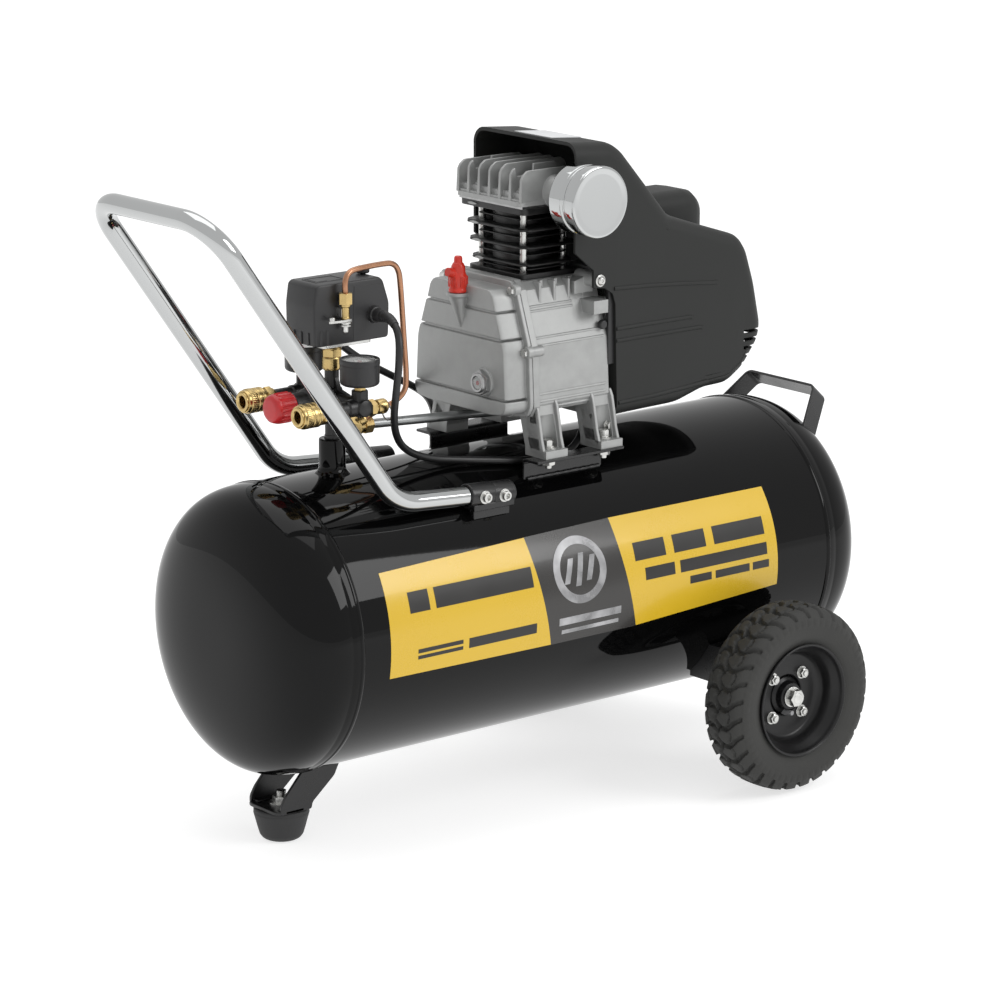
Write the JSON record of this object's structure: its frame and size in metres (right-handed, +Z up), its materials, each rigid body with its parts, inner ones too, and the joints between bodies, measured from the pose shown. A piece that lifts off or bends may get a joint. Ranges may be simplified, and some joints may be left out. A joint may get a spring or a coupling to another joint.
{
  "type": "wheeled air compressor",
  "caption": "Portable air compressor: horizontal tank on two wheels and a foot, direct-drive piston pump, shrouded motor, pressure controls, tow handle and mains lead.",
  "frame": {"origin": "middle of the overall box at floor level", "axes": "+X along the tank from the tow handle to the wheel end, +Z up, +Y away from the side with the labels"},
  "size_m": [0.8941, 0.5912, 0.712],
  "materials": {
    "tank_black": "gloss",
    "black_paint": "satin",
    "foot_rubber": "matt",
    "tyre_rubber": "matt",
    "zinc": "zinc plated",
    "chrome": "bright",
    "cast_aluminium": "shot blasted",
    "tube_aluminium": "drawn",
    "black_iron": "painted black",
    "steel_parts": "machined",
    "windings": "laminations and copper",
    "window": "clear",
    "red_plastic": "moulded",
    "black_plastic": "moulded",
    "shroud_plastic": "moulded, fine grain",
    "white_plastic": "moulded",
    "brass": "machined",
    "copper": "drawn copper tube",
    "lead_rubber": "satin",
    "foam": "open foam"
  },
  "bodies": {
    "frame": {"tank_shell": "tank_black", "tank_heads": "tank_black", "foot_bracket": "black_paint", "rubber_foot": "foot_rubber", "axle_brackets": "black_paint", "axle_bolts": "zinc", "tow_handle": "chrome", "handle_clamps": "black_paint", "carry_handle": "black_paint", "pump_rails": "black_paint", "frame_fasteners": "zinc", "crankcase": "cast_aluminium", "crankcase_cover": "cast_aluminium", "pump_fasteners": "zinc", "sight_glass": "window", "cylinder_barrel": "black_iron", "valve_plate": "steel_parts", "cylinder_head": "cast_aluminium", "crank_bearings": "steel_parts", "motor_stator": "windings", "motor_frame": "black_paint", "run_capacitor": "black_plastic", "fan_shroud": "shroud_plastic", "filter_housing": "chrome", "filter_element": "foam", "discharge_pipe": "tube_aluminium", "check_valve": "brass", "unloader_tube": "copper", "manifold": "black_iron", "pipe_fittings": "brass", "switch_base": "black_plastic", "switch_cover": "black_plastic", "unloader_valve": "brass", "gauge_bodies": "black_plastic", "gauge_lenses": "window", "coupler_bodies": "brass", "safety_valve": "brass", "drain_valve": "brass", "motor_lead": "lead_rubber", "power_cord": "lead_rubber", "cord_coil": "lead_rubber", "mains_plug": "black_plastic"},
    "near_wheel": {"near_tyre": "tyre_rubber", "near_rim": "black_paint"},
    "far_wheel": {"far_tyre": "tyre_rubber", "far_rim": "black_paint"},
    "rotor": {"crankshaft": "steel_parts", "motor_rotor": "steel_parts", "cooling_fan": "white_plastic"},
    "piston_group": {"piston": "cast_aluminium", "connecting_rod": "cast_aluminium"},
    "regulator_knob": {"regulator_knob": "red_plastic"},
    "switch_knob": {"switch_knob": "black_plastic"},
    "near_sleeve": {"near_sleeve": "brass"},
    "far_sleeve": {"far_sleeve": "brass"},
    "safety_ring": {"safety_ring": "zinc"},
    "oil_breather": {"oil_breather": "red_plastic"},
    "drain_screw": {"drain_screw": "brass"},
    "tank_needle": {"tank_needle": "red_plastic"},
    "outlet_needle": {"outlet_needle": "red_plastic"}
  },
  "joints": [
    {"name": "near_wheel_spin", "type": "hinge", "parent": "frame", "child": "near_wheel", "pos_m": [0.24345, -0.211, 0.1058], "axis": [0, 1, 0], "continuous": true},
    {"name": "far_wheel_spin", "type": "hinge", "parent": "frame", "child": "far_wheel", "pos_m": [0.24345, 0.211, 0.1058], "axis": [0, 1, 0], "continuous": true},
    {"name": "rotor_spin", "type": "hinge", "parent": "frame", "child": "rotor", "pos_m": [0.15445, 0, 0.5], "axis": [1, 0, 0], "continuous": true},
    {"name": "piston_stroke", "type": "slide", "parent": "frame", "child": "piston_group", "axis": [0, 0, 1], "range_m": [-0.038, 0]},
    {"name": "regulator_turn", "type": "hinge", "parent": "frame", "child": "regulator_knob", "pos_m": [-0.27955, 0, 0.461], "axis": [1, 0, 0], "range_deg": [-540, 540]},
    {"name": "switch_pull", "type": "slide", "parent": "frame", "child": "switch_knob", "axis": [0, 0, 1], "range_m": [0, 0.006]},
    {"name": "near_sleeve_pull", "type": "slide", "parent": "frame", "child": "near_sleeve", "axis": [1, 0, 0], "range_m": [0, 0.0035], "stiffness_N_per_m": 400},
    {"name": "far_sleeve_pull", "type": "slide", "parent": "frame", "child": "far_sleeve", "axis": [1, 0, 0], "range_m": [0, 0.0035], "stiffness_N_per_m": 400},
    {"name": "safety_ring_pull", "type": "slide", "parent": "frame", "child": "safety_ring", "axis": [1, 0, 0], "range_m": [0, 0.004], "stiffness_N_per_m": 500},
    {"name": "breather_pull", "type": "slide", "parent": "frame", "child": "oil_breather", "axis": [0, 0, 1], "range_m": [0, 0.03]},
    {"name": "drain_turn", "type": "hinge", "parent": "frame", "child": "drain_screw", "pos_m": [0.03445, 0.07625, 0.09893], "axis": [0, 0.5, -0.866], "range_deg": [0, 720]},
    {"name": "tank_needle_turn", "type": "hinge", "parent": "frame", "child": "tank_needle", "pos_m": [-0.21255, 0.047, 0.507], "axis": [0, 0, 1], "range_deg": [-270, 0]},
    {"name": "outlet_needle_turn", "type": "hinge", "parent": "frame", "child": "outlet_needle", "pos_m": [-0.21255, -0.047, 0.507], "axis": [0, 0, 1], "range_deg": [-270, 0]}
  ]
}
